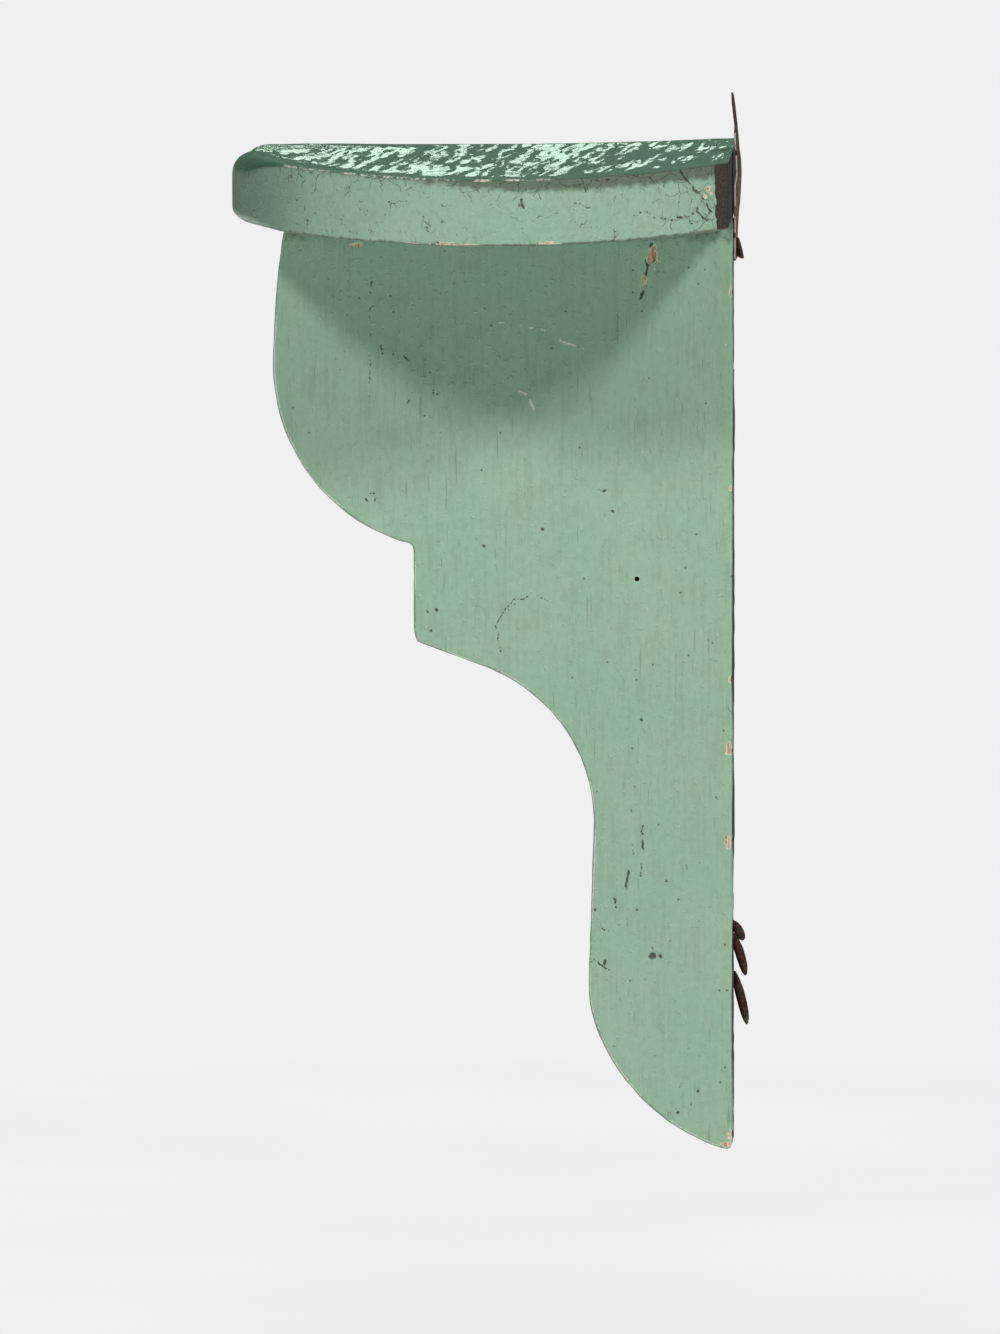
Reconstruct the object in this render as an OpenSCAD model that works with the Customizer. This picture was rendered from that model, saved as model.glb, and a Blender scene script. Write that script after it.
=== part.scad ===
// Painted wooden bracket shelf: a round-fronted board nailed on one scroll-sawn bracket, with a sheet-iron
// hanging strap at the back and three clenched nails in the leg.
// X runs along the wall, +Y points into the wall and +Z is up. The wood's back lies in the plane Y = 0.
// Heights inside the modules are measured from the bracket's foot and depths from the wood's back.
// The finished pieces are lowered so that the origin is the centre of the strap's hanging hole.

/* [Shelf board] */
// Depth of the board from its back to its round front
shelf_depth = 167; // [139:0.5:201]
// Width of the board along its straight back
shelf_back_w = 130; // [100:1:160]
// Thickness of the board
shelf_t = 22.5; // [18:0.5:27]
// Rise of the board's front and back above its middle, from cupping
shelf_cup = 4; // [2:0.5:6]

/* [Bracket] */
// Height of the bracket from its foot to the middle of the board's underside
bracket_h = 306.5; // [250:0.5:370]
// Thickness of the bracket
bracket_t = 22; // [18:0.5:27]
// Distance that the board stands out past the bracket's nose
nose_overhang = 14; // [8:0.5:20]
// Radius of the nearly straight edge above the nose
nose_r = 296; // [240:1:360]
// Radius of the belly below the nose
belly_r = 60.8; // [50:0.1:73]
// Distance from the bracket's top down to the nose
nose_drop = 45.7; // [38:0.1:55]
// Depth of the square step under the belly
step_d = 106.4; // [88:0.1:128]
// Slope of the step's underside, rising outwards
step_slope = 20; // [16:1:24]
// Rounding of the step's lower corner
step_round = 3; // [2:0.5:4]
// Radius of the cove
cove_r = 55.1; // [46:0.1:66]
// Height of the cove's centre above the foot
cove_h = 109.3; // [91:0.1:131]
// Depth of the leg at the cove's lower end
neck_d = 46.5; // [39:0.5:56]
// Depth of the leg where the toe begins
leg_d = 48.3; // [40:0.1:58]
// Height of the toe
toe_h = 49; // [41:0.5:59]
// Radius of the toe
toe_r = 68.4; // [60:0.1:82]
// Width of the blunt end that the toe leaves at the foot
foot_d = 3; // [2:0.5:5]

/* [Hanging strap] */
// Width of the strap
strap_w = 16; // [13:0.5:19]
// Thickness of the sheet iron
strap_t = 0.7; // [0.5:0.1:1]
// Height of the hanging hole above the board's back edge
hole_rise = 11; // [9:0.5:14]
// Diameter of the hanging hole
hole_dia = 5; // [4:0.5:6]
// Length of the strap below the middle of the board's underside
strap_tail = 10.5; // [8.5:0.5:13]
// Gap between the bowed strap and the board
strap_bow = 1.2; // [0.8:0.1:1.6]

/* [Nails] */
// Shank diameter of the board's nails
shelf_nail_dia = 3; // [2.4:0.1:3.6]
// Length of the board's nails
shelf_nail_len = 63; // [52:1:76]
// Distance from the back to the rear nail
rear_nail_d = 38; // [32:1:46]
// Distance from the bracket's front to the front nail
front_nail_inset = 27; // [20:1:33]
// Shank diameter of the strap's nail
strap_nail_dia = 2.6; // [2.2:0.1:3.1]
// Length of the strap's nail
strap_nail_len = 26; // [21:1:31]
// Head diameter of the strap's nail
strap_nail_head = 7.2; // [6:0.1:8.6]
// Distance from the strap's lower end up to its nail
strap_nail_rise = 4.3; // [4:0.1:5]
// Downward tilt of the strap's nail, which leaves its head proud at the bottom
strap_nail_tilt = 14; // [11:1:17]
// Shank diameter of the clenched nails
leg_nail_dia = 2.6; // [2.2:0.1:3.1]
// Distance from the bracket's sides to the outer clenched nails
leg_nail_edge = 5; // [4:0.5:6]
// Head diameter of the board's nails and the clenched nails
nail_head_dia = 6; // [5:0.5:7]
// Depth that those heads are punched below the wood
nail_sink = 0.6; // [0.4:0.1:1]

/* [Old nail hole] */
// Diameter of the empty nail hole in the bracket's side
old_hole_dia = 1.7; // [1.2:0.1:2.2]
// Its depth into the wood
old_hole_depth = 12; // [8:0.5:15]
// Its distance from the wood's back
old_hole_d = 32; // [27:1:38]
// Its height above the foot
old_hole_h = 190.5; // [159:0.5:229]

/* [Hidden] */
$fn = 64;

paint = "#93b29b";
iron = "#4b342b";
past = 1;                        // how far a cutting shape runs past what it cuts
large_fn = 720;                  // sides of the very large circles

head_t = 0.9;                    // thickness of a nail's head
point_len = 5;                   // length of a nail's point
clench_r = 1.95;                 // centreline radius of a clenched nail's bend
clench_thin = 0.1;               // how much thinner hammering has left a clenched nail past its bend
clench_seat = 0.4;               // how far the thinner stretch starts inside the bend
bow_run = 8;                     // height over which the strap bends out and back

// Cupped board: its two faces are parts of two large cylinders on one axis along X.
half_depth = shelf_depth / 2;
under_r = (half_depth * half_depth + shelf_cup * shelf_cup) / (2 * shelf_cup);
top_r = under_r - shelf_t;
cup_axis_h = bracket_h + under_r;

// Round front: the circle through the front tip and both back corners.
half_back = shelf_back_w / 2;
plan_r = (shelf_depth * shelf_depth + half_back * half_back) / (2 * shelf_depth);

// Outline of the bracket.
nose_d = shelf_depth - nose_overhang;
nose_h = bracket_h - nose_drop;
cove_c = [neck_d + cove_r, cove_h];
lip_start = cove_c + cove_r * [-sin(step_slope), cos(step_slope)];
lip_end = [step_d, lip_start.y + (step_d - lip_start.x) * tan(step_slope)];
corner_c = [step_d - step_round, lip_end.y + step_round * (1 / cos(step_slope) - tan(step_slope))];

// Hanging strap and its nail.
back_top_h = face_h(0, top_r);
hole_h = back_top_h + hole_rise;
strap_end_h = bracket_h - strap_tail;
strap_nail_h = strap_end_h + strap_nail_rise;
strap_nail_lift = strap_nail_head / 2 * sin(strap_nail_tilt) + head_t * cos(strap_nail_tilt);

// Nails: distance of each board nail from the back, and [x, height, lean, straight length] of each clenched nail.
front_nail_d = nose_d - front_nail_inset;
leg_nail_x = bracket_t / 2 - leg_nail_edge;
leg_nail_upper_at = [leg_nail_x, 74.5, 30, 2.6];
leg_nail_middle_at = [0, 69.6, 12, 8.6];
leg_nail_lower_at = [-leg_nail_x, 56.4, 10, 12];

// Height of one of the board's curved faces at depth d.
function face_h(d, r) = cup_axis_h - sqrt(r * r - (d - half_depth) * (d - half_depth));

// Centre of the circle of radius r through p and q, on the side to the left of the way from p to q.
function arc_centre(p, q, r) =
    let (chord = q - p, half = norm(chord) / 2)
    (p + q) / 2 + sqrt(r * r - half * half) * [-chord.y, chord.x] / norm(chord);

// Depth of the leg's front edge at height h, between the toe and the cove.
function leg_front(h) = leg_d + (neck_d - leg_d) * (h - toe_h) / (cove_h - toe_h);

// Turns an outline drawn as [depth, height] into a board of thickness t standing square to the wall.
module side_board(t) {
    rotate([90, 0, -90])
        linear_extrude(height = t, center = true)
            children();
}

// Lowers a piece from the foot's frame to the origin at the hanging hole.
module hung() {
    translate([0, 0, -hole_h])
        children();
}

// A straight nail along -Z with the top of its head at the origin.
module nail(len, dia, head) {
    translate([0, 0, -head_t])
        cylinder(h = head_t, d = head);
    translate([0, 0, point_len - len])
        cylinder(h = len - point_len, d = dia);
    translate([0, 0, -len])
        cylinder(h = point_len, d1 = dia / 4, d2 = dia);
}

// The space that a nail's head leaves above it, up to the wood's face and past it.
module head_pocket(head, depth) {
    translate([0, 0, -past / 2])
        cylinder(h = depth + past, d = head);
}

module place_shelf_nail(d) {
    translate([0, -d, face_h(d, top_r) - nail_sink])
        children();
}

// Each board nail runs down through the board into the bracket.
module shelf_nail_at(d) {
    color(iron)
        hung()
            place_shelf_nail(d)
                nail(shelf_nail_len, shelf_nail_dia, nail_head_dia);
}

module shelf_nail_holes() {
    for (d = [rear_nail_d, (rear_nail_d + front_nail_d) / 2, front_nail_d])
        place_shelf_nail(d) {
            nail(shelf_nail_len, shelf_nail_dia, nail_head_dia);
            head_pocket(nail_head_dia, nail_sink);
        }
}

// The strap's nail slants down into the bracket, with the top of its head's rim touching the strap.
module place_strap_nail() {
    translate([0, strap_t + strap_nail_lift, strap_nail_h])
        rotate([strap_nail_tilt - 90, 0, 0])
            children();
}

// The clenched nail's straight shank, from its sunk head at the leg's front to the wood's back.
module leg_nail_shank(at) {
    front = leg_front(at[1]) - nail_sink;
    translate([at[0], -front, at[1]])
        rotate([-90, 0, 0]) {
            cylinder(h = head_t, d = nail_head_dia);
            cylinder(h = front, d = leg_nail_dia);
        }
}

// Past the wood it bends down in an arc and runs on, leaning away from the leg by its lean angle.
module leg_nail(at) {
    bend = 90 - at[2];
    color(iron)
        hung() {
            leg_nail_shank(at);
            translate([at[0], 0, at[1] - clench_r])
                rotate([0, -90, 0])
                    rotate_extrude(angle = bend)
                        translate([clench_r, 0])
                            circle(d = leg_nail_dia);
            translate([at[0], clench_r * sin(bend), at[1] - clench_r + clench_r * cos(bend)])
                rotate([180 + at[2], 0, 0]) {
                    translate([0, 0, -clench_seat])
                        cylinder(h = at[3] + clench_seat, d = leg_nail_dia - clench_thin);
                    translate([0, 0, at[3]])
                        sphere(d = leg_nail_dia - clench_thin);
                }
        }
}

module leg_nail_holes() {
    for (at = [leg_nail_upper_at, leg_nail_middle_at, leg_nail_lower_at]) {
        leg_nail_shank(at);
        translate([at[0], -leg_front(at[1]) + nail_sink, at[1]])
            rotate([90, 0, 0])
                head_pocket(nail_head_dia, nail_sink + past);
    }
}

// Board: a cupped slab cut to a round-fronted plan.
module shelf_board() {
    span = 2 * plan_r + 2 * past;
    color(paint)
        hung()
            difference() {
                intersection() {
                    side_board(span)
                        difference() {
                            translate([half_depth, cup_axis_h])
                                circle(r = under_r, $fn = large_fn);
                            translate([half_depth, cup_axis_h])
                                circle(r = top_r, $fn = large_fn);
                            translate([-2 * under_r, bracket_h + shelf_t + 2 * shelf_cup])
                                square([4 * under_r, 3 * under_r]);
                        }
                    translate([0, 0, bracket_h - past])
                        linear_extrude(height = shelf_t + 2 * shelf_cup + 2 * past)
                            intersection() {
                                translate([0, plan_r - shelf_depth])
                                    circle(r = plan_r, $fn = large_fn);
                                translate([-span, -2 * span])
                                    square([2 * span, 2 * span]);
                            }
                }
                shelf_nail_holes();
            }
}

// The blunt toe: everything of the leg's lower end that lies inside the toe's circle.
module leg_outline() {
    toe_top = [leg_d, toe_h];
    polygon([[0, toe_h], toe_top, [neck_d, cove_h], [neck_d, lip_start.y], [0, lip_start.y]]);
    intersection() {
        translate(arc_centre([foot_d, 0], toe_top, toe_r))
            circle(r = toe_r, $fn = large_fn);
        square([leg_d, toe_h]);
    }
}

// The step, with its sloping underside, its rounded corner and the cove that runs down into the leg.
module step_outline() {
    difference() {
        polygon([[0, cove_h], [cove_c.x, cove_h], [lip_start.x, lip_start.y], lip_end, [step_d, nose_h], [0, nose_h]]);
        translate(cove_c)
            circle(r = cove_r, $fn = large_fn);
        polygon([lip_end, [step_d + past, lip_end.y], [step_d + past, corner_c.y], corner_c,
                 corner_c + step_round * [sin(step_slope), -cos(step_slope)]]);
    }
    translate(corner_c)
        circle(r = step_round);
}

// The belly and the edge above it, which meet at the nose.
module nose_outline() {
    intersection() {
        translate([nose_d - nose_r, nose_h])
            circle(r = nose_r, $fn = large_fn);
        translate([0, nose_h])
            square([nose_d, nose_drop + 2 * shelf_cup]);
    }
    translate([nose_d - belly_r, nose_h])
        circle(r = belly_r, $fn = large_fn);
}

module bracket_board() {
    color(paint)
        hung()
            difference() {
                side_board(bracket_t)
                    difference() {
                        union() {
                            leg_outline();
                            step_outline();
                            nose_outline();
                        }
                        translate([half_depth, cup_axis_h])
                            circle(r = under_r, $fn = large_fn);
                    }
                shelf_nail_holes();
                place_strap_nail()
                    nail(strap_nail_len, strap_nail_dia, strap_nail_dia);
                leg_nail_holes();
                translate([bracket_t / 2 - old_hole_depth, -old_hole_d, old_hole_h])
                    rotate([0, 90, 0])
                        cylinder(h = old_hole_depth + past, d = old_hole_dia);
            }
}

// Strap: a narrow strip of sheet iron with a round upper end, flat on the bracket and bowed off the board.
module hanger_strap() {
    bow_start = bracket_h + bow_run;
    bow_end = back_top_h - bow_run / 2;
    color(iron)
        hung()
            difference() {
                intersection() {
                    side_board(strap_w)
                        polygon([[0, strap_end_h], [0, bow_start], [-strap_bow, bow_start + bow_run],
                                 [-strap_bow, bow_end], [0, bow_end + bow_run], [0, hole_h + strap_w],
                                 [-strap_t, hole_h + strap_w], [-strap_t, bow_end + bow_run],
                                 [-strap_bow - strap_t, bow_end], [-strap_bow - strap_t, bow_start + bow_run],
                                 [-strap_t, bow_start], [-strap_t, strap_end_h]]);
                    rotate([90, 0, 0])
                        linear_extrude(height = 4 * (strap_bow + strap_t), center = true) {
                            translate([0, hole_h])
                                circle(d = strap_w);
                            translate([-strap_w / 2, strap_end_h])
                                square([strap_w, hole_h - strap_end_h]);
                        }
                }
                translate([0, -past, hole_h])
                    rotate([-90, 0, 0])
                        cylinder(h = strap_t + 2 * past, d = hole_dia);
                place_strap_nail()
                    nail(strap_nail_len, strap_nail_dia, strap_nail_head);
            }
}

module hanger_nail() {
    color(iron)
        hung()
            place_strap_nail()
                nail(strap_nail_len, strap_nail_dia, strap_nail_head);
}

module shelf_nail_rear() { shelf_nail_at(rear_nail_d); }
module shelf_nail_middle() { shelf_nail_at((rear_nail_d + front_nail_d) / 2); }
module shelf_nail_front() { shelf_nail_at(front_nail_d); }
module leg_nail_upper() { leg_nail(leg_nail_upper_at); }
module leg_nail_middle() { leg_nail(leg_nail_middle_at); }
module leg_nail_lower() { leg_nail(leg_nail_lower_at); }

shelf_board();
bracket_board();
hanger_strap();
hanger_nail();
shelf_nail_rear();
shelf_nail_middle();
shelf_nail_front();
leg_nail_upper();
leg_nail_middle();
leg_nail_lower();
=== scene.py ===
"""Looks for an old painted bracket shelf: a cupped, brush-painted board on one scroll-sawn bracket, with a
rusty hanging strap and old nails. It is built round the shelf's fixed frame. Lengths are in millimetres until
a mesh is made."""

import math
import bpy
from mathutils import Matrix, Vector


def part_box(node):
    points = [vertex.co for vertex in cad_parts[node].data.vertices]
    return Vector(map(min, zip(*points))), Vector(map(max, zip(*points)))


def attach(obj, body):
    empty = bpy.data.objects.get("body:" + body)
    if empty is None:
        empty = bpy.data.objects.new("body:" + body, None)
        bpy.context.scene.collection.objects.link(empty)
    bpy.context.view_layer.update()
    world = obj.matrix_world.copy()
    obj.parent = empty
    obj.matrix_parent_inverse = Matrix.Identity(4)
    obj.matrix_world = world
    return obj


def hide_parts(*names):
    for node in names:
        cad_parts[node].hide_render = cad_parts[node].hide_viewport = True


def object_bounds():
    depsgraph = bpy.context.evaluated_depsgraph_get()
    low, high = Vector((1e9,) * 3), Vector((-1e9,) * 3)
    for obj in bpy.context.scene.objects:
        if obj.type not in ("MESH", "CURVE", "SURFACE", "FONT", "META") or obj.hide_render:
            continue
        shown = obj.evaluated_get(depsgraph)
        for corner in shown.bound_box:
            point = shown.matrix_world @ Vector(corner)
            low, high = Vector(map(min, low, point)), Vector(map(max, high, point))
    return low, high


bl_info = {
    "name": "Painted bracket shelf",
    "version": (1, 0, 0),
    "blender": (4, 5, 0),
    "location": "3D View > Sidebar > Shelf",
    "description": "Builds an old painted bracket shelf, its rusty ironwork and a plain stage",
    "category": "Object",
}

import bmesh
import bpy
import numpy as np
from mathutils import Matrix, Vector
from mathutils.geometry import delaunay_2d_cdt
from mathutils.kdtree import KDTree

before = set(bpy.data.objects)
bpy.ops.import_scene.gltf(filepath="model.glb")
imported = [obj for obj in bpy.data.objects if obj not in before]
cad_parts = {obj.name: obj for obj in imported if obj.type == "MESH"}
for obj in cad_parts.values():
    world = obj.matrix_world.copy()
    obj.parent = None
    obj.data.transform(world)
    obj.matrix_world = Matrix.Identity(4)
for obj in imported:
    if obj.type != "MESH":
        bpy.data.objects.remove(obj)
CAD_BOX = [list(corner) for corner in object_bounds()]
MM = 0.001


# ---------------------------------------------------------------- small helpers

def linear(hex_colour):
    """An sRGB hex colour as linear red, green, blue and an alpha of 1."""
    channels = [int(hex_colour[i:i + 2], 16) / 255 for i in (1, 3, 5)]
    return [c / 12.92 if c <= 0.04045 else ((c + 0.055) / 1.055) ** 2.4 for c in channels] + [1.0]


def colour_property(name, description, hex_colour):
    return bpy.props.FloatVectorProperty(
        name=name, description=description, subtype="COLOR", size=4, min=0, max=1, default=linear(hex_colour))


def length_property(name, description, mm):
    return bpy.props.FloatProperty(name=name, description=description, unit="LENGTH", min=0, default=mm * MM)


def smooth_step(x, low, high):
    """0 below low, 1 above high, and a smooth rise between them."""
    t = np.clip((x - low) / (high - low), 0, 1)
    return t * t * (3 - 2 * t)


def lattice_noise(points, size, seed):
    """Smooth noise from -1 to 1 at each point. size is the lump size along each axis, in millimetres."""
    scaled = np.asarray(points, float) / np.asarray(size, float)
    cell = np.floor(scaled).astype(np.int64)
    part = scaled - cell
    part = part * part * (3 - 2 * part)
    total = np.zeros(len(scaled))
    dims = scaled.shape[1]
    primes = (73856093, 19349663, 83492791)
    for corner in range(2 ** dims):
        weight = np.ones(len(scaled))
        key = np.full(len(scaled), seed * 2654435761 % 4294967296, np.int64)
        for axis in range(dims):
            step = corner >> axis & 1
            weight *= part[:, axis] if step else 1 - part[:, axis]
            key ^= (cell[:, axis] + step) * primes[axis]
        key = (key ^ key >> 13) * 1274126177 & 0xFFFFFFFF
        key = (key ^ key >> 16) * 668265263 & 0xFFFFFFFF
        total += weight * ((key >> 8 & 0xFFFF) / 32767.5 - 1)
    return total


def line_distance(points, line):
    """Distance from each point to the nearest part of a line of points."""
    best = np.full(len(points), 1e9)
    for start, end in zip(line[:-1], line[1:]):
        along = end - start
        t = np.clip((points - start) @ along / (along @ along), 0, 1)
        best = np.minimum(best, np.linalg.norm(points - start - t[:, None] * along, axis=1))
    return best


def arc_line(centre, radius, start, end, steps=14):
    """Points along an arc, with its angles in degrees."""
    angles = np.radians(np.linspace(start, end, steps))
    return np.array(centre) + radius * np.column_stack([np.cos(angles), np.sin(angles)])


def box_mm(node):
    low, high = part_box(node)
    return np.array(low) / MM, np.array(high) / MM


def make_piece(name, verts, faces, material, node, marks=None):
    """A smooth-shaded mesh that stands for a frame node and rides with it. marks are values per vertex."""
    mesh = bpy.data.meshes.new(name)
    mesh.from_pydata((np.asarray(verts) * MM).tolist(), [], faces)
    mesh.validate()
    for mark, values in (marks or {}).items():
        mesh.attributes.new(mark, "FLOAT", "POINT").data.foreach_set("value", np.asarray(values, np.float32))
    mesh.polygons.foreach_set("use_smooth", [True] * len(mesh.polygons))
    mesh.materials.append(material)
    piece = bpy.data.objects.new(name, mesh)
    bpy.context.scene.collection.objects.link(piece)
    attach(piece, "root")
    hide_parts(node)
    return piece


# ---------------------------------------------------------------- slabs with rounded, worn arrises

def resample(loop, spacing):
    """A closed loop of evenly spaced points."""
    closed = np.vstack([loop, loop[:1]])
    steps = np.linalg.norm(np.diff(closed, axis=0), axis=1)
    at = np.concatenate([[0], np.cumsum(steps)])
    count = int(round(at[-1] / spacing))
    wanted = np.linspace(0, at[-1], count, endpoint=False)
    return np.column_stack([np.interp(wanted, at, closed[:, i]) for i in (0, 1)])


def soften(loop, times):
    """Rounds a closed loop's corners a little with each pass."""
    for _ in range(times):
        loop = 0.5 * loop + 0.25 * (np.roll(loop, 1, axis=0) + np.roll(loop, -1, axis=0))
    return loop


def anticlockwise(loop):
    after = np.roll(loop, -1, axis=0)
    area = np.sum(loop[:, 0] * after[:, 1] - loop[:, 1] * after[:, 0])
    return loop if area > 0 else loop[::-1]


def outward(loop, reach=2):
    """Unit normals that point out of an anticlockwise loop."""
    along = np.roll(loop, -reach, axis=0) - np.roll(loop, reach, axis=0)
    normal = np.column_stack([along[:, 1], -along[:, 0]])
    return normal / np.linalg.norm(normal, axis=1)[:, None]


def scatter(low, high, step_a, step_b, seed):
    """Slightly uneven staggered points that fill a rectangle."""
    rows = np.arange(low[1], high[1], step_b)
    columns = np.arange(low[0], high[0], step_a)
    a, b = np.meshgrid(columns, rows)
    a = a + step_a / 2 * (np.arange(len(rows)) % 2)[:, None]
    points = np.column_stack([a.ravel(), b.ravel()])
    jitter = np.random.default_rng(seed).uniform(-0.2, 0.2, points.shape)
    return points + jitter * [step_a, step_b]


def keep_inside(points, loop, normals, margin):
    """The points that lie inside a loop by at least a margin."""
    tree = KDTree(len(loop))
    for i, p in enumerate(loop):
        tree.insert((p[0], p[1], 0), i)
    tree.balance()
    nearest = np.array([tree.find((p[0], p[1], 0))[1] for p in points])
    depth = -np.einsum("ij,ij->i", points - loop[nearest], normals[nearest])
    return points[depth > margin]


def slab(loop, half_t, arris_high, arris_low, arris_rows, edge_rows, face_points):
    """A board's surface as rows round its edge and a net of triangles on each face.

    The loop is its outline. Each arris is a radius at every point of the loop. Returned are each vertex's
    place (a, b, w) with w through the thickness, its outward direction, and the faces."""
    normals = outward(loop)
    turn = np.radians(np.linspace(0, 90, arris_rows))
    curve = [(1 - math.sin(t), 1 - math.cos(t), math.sin(t), math.cos(t)) for t in turn]
    rows = [(arris_high * inset, half_t - arris_high * drop, out, up) for inset, drop, out, up in curve]
    low_rows = [(arris_low * inset, -half_t + arris_low * drop, out, -up)
                for inset, drop, out, up in curve[::-1]]
    top, bottom = rows[-1][1], low_rows[0][1]
    flush = np.zeros(len(loop))
    rows += [(flush, top + (bottom - top) * i / edge_rows, 1, 0) for i in range(1, edge_rows)]
    rows += low_rows
    count = len(loop)
    place = np.concatenate([np.column_stack([loop - inset[:, None] * normals, w]) for inset, w, _, _ in rows])
    facing = np.concatenate([np.column_stack([out * normals, np.full(count, up)]) for _, _, out, up in rows])
    faces = []
    for r in range(len(rows) - 1):
        for i in range(count):
            j = (i + 1) % count
            faces.append((r * count + i, (r + 1) * count + i, (r + 1) * count + j, r * count + j))
    for side, first in ((1, 0), (-1, (len(rows) - 1) * count)):
        rim = place[first:first + count, :2]
        inner = keep_inside(face_points[side], rim, normals, 0.35)
        net_points = [Vector(p) for p in np.vstack([rim, inner])]
        rim_edges = [(i, (i + 1) % count) for i in range(count)]
        points, _, triangles, origins, _, _ = delaunay_2d_cdt(net_points, rim_edges, [], 1, 1e-5)
        base = len(place)
        index = []
        extra = []
        for point, origin in zip(points, origins):
            if origin and origin[0] < count:
                index.append(first + origin[0])
            else:
                index.append(base + len(extra))
                extra.append((point.x, point.y, side * half_t))
        place = np.vstack([place, extra])
        facing = np.vstack([facing, np.tile([0, 0, side], (len(extra), 1))])
        for triangle in triangles:
            corners = [index[i] for i in triangle]
            faces.append(corners if side > 0 else corners[::-1])
    return place, facing, faces


# ---------------------------------------------------------------- the boards' shapes, read from the frame

class BoardShape:
    """The cupped board: two faces that are parts of cylinders on one axis along X, and a round-fronted plan."""

    def __init__(self):
        low, high = box_mm("shelf_board")
        self.depth = high[1] - low[1]
        self.middle_y = low[1] + self.depth / 2
        cup = box_mm("bracket_board")[1][2] - low[2]
        half = self.depth / 2
        self.under_r = (half ** 2 + cup ** 2) / (2 * cup)
        self.axis_z = low[2] + self.under_r
        self.top_r = math.hypot(self.axis_z - high[2], half)
        self.half_t = (self.under_r - self.top_r) / 2
        self.plan_r = (high[0] - low[0]) / 2
        self.front_y = low[1]
        self.centre_y = low[1] + self.plan_r

    def height(self, y, w):
        """Height of the layer that lies w above the middle of the board's thickness, at a distance y."""
        radius = self.under_r - self.half_t - w
        return self.axis_z - np.sqrt(radius ** 2 - (y - self.middle_y) ** 2)

    def outline(self, spacing):
        corner = math.degrees(math.asin(-self.centre_y / self.plan_r))
        arc = arc_line((0, self.centre_y), self.plan_r, 180 - corner, 360 + corner, 400)
        return resample(arc, spacing)


def side_outline(node):
    """The outline of the flat face that a node turns to +X, as [y, z] points."""
    net = bmesh.new()
    net.from_mesh(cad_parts[node].data)
    bmesh.ops.remove_doubles(net, verts=net.verts, dist=1e-6)
    face_x = max(v.co.x for v in net.verts)

    def on_face(item):
        return all(abs(v.co.x - face_x) < 1e-6 for v in item.verts)

    after = {}
    for edge in net.edges:
        flat = [f for f in edge.link_faces if on_face(f)]
        if len(flat) == 1 and on_face(edge):
            for loop in flat[0].loops:
                if loop.edge == edge:
                    after[loop.vert] = loop.link_loop_next.vert
    outlines = []
    while after:
        start = next(iter(after))
        vert, points = start, []
        while vert in after:
            points.append((vert.co.y / MM, vert.co.z / MM))
            vert = after.pop(vert)
        outlines.append(points)
    net.free()
    return anticlockwise(np.array(max(outlines, key=len)))


# ---------------------------------------------------------------- marks of age in the paint and wood

class Marks:
    """Marks on a surface seen square from the side. A place is its distance from the wall and its height above
    the foot."""

    def __init__(self, foot_z):
        self.foot_z = foot_z
        self.cracks = []
        self.pits = []
        self.chips = []

    def point(self, place):
        return np.array([-place[0], place[1] + self.foot_z])

    def crack(self, places, width, depth):
        """A line where the paint or wood has opened."""
        self.cracks.append((np.array([self.point(p) for p in places]), width, depth))

    def arc(self, centre, radius, start, end, width, depth):
        self.cracks.append((arc_line(self.point(centre), radius, start, end), width, depth))

    def pit(self, place, radius, depth):
        """A round dent. A negative depth is a blister."""
        self.pits.append((self.point(place), radius, depth))

    def chip(self, place, size, depth, seed):
        """A ragged patch where the paint has come off."""
        self.chips.append((self.point(place), np.array(size), depth, seed))

    def near(self, points):
        """Distance from each point to the nearest mark's edge."""
        best = np.full(len(points), 1e9)
        for line, width, _ in self.cracks:
            best = np.minimum(best, line_distance(points, line) - width)
        for centre, radius, _ in self.pits:
            best = np.minimum(best, np.linalg.norm(points - centre, axis=1) - radius)
        for centre, size, _, _ in self.chips:
            best = np.minimum(best, np.linalg.norm(points - centre, axis=1) - max(size))
        return best

    def apply(self, points):
        """How far each point sinks, and how much crack and bare chip it shows, and how much pale painted
        highlight its raised lines get, from 0 to 1.
        """
        sink = np.zeros(len(points))
        crack = np.zeros(len(points))
        chip = np.zeros(len(points))
        ridge_highlight = np.zeros(len(points))
        slow = [lattice_noise(points, (2.5, 2.5), seed) for seed in (5, 6)]
        quick = [lattice_noise(points, (0.9, 0.9), seed) for seed in (8, 9)]
        wander = 0.5 * np.column_stack(slow) + 0.25 * np.column_stack(quick)
        breaks = lattice_noise(points, (1.5, 1.5), 7) + 0.5 * lattice_noise(points, (0.7, 0.7), 10)
        for line, width, depth in self.cracks:
            gap = line_distance(points + wander, line)
            unbroken = smooth_step(breaks + 1.6 * abs(depth), -0.1, 0.35)
            cut = np.clip(1 - gap / width, 0, 1) * unbroken
            sink += depth * cut
            crack = np.maximum(crack, cut * np.clip(4 * depth, 0, 1))
            # A raised line gets a pale painted highlight.
            ridge_highlight = np.maximum(ridge_highlight, cut * np.clip(-8 * depth, 0, 1))
        for centre, radius, depth in self.pits:
            gap = np.linalg.norm(points + wander - centre, axis=1) / radius
            sink += depth * np.exp(-2.5 * gap ** 2)
            crack = np.maximum(crack, np.clip(5 * depth, 0, 1) * np.exp(-1.3 * gap ** 2))
        for centre, size, depth, seed in self.chips:
            gap = np.linalg.norm((points - centre) / size, axis=1)
            gap += 0.4 * lattice_noise(points, (1.3, 1.3), seed)
            gap += 0.2 * lattice_noise(points, (0.6, 0.6), seed)
            bare = 1 - smooth_step(gap, 0.75, 1.0)
            sink += depth * bare
            chip = np.maximum(chip, bare)
        return sink, crack, chip, ridge_highlight


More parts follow.
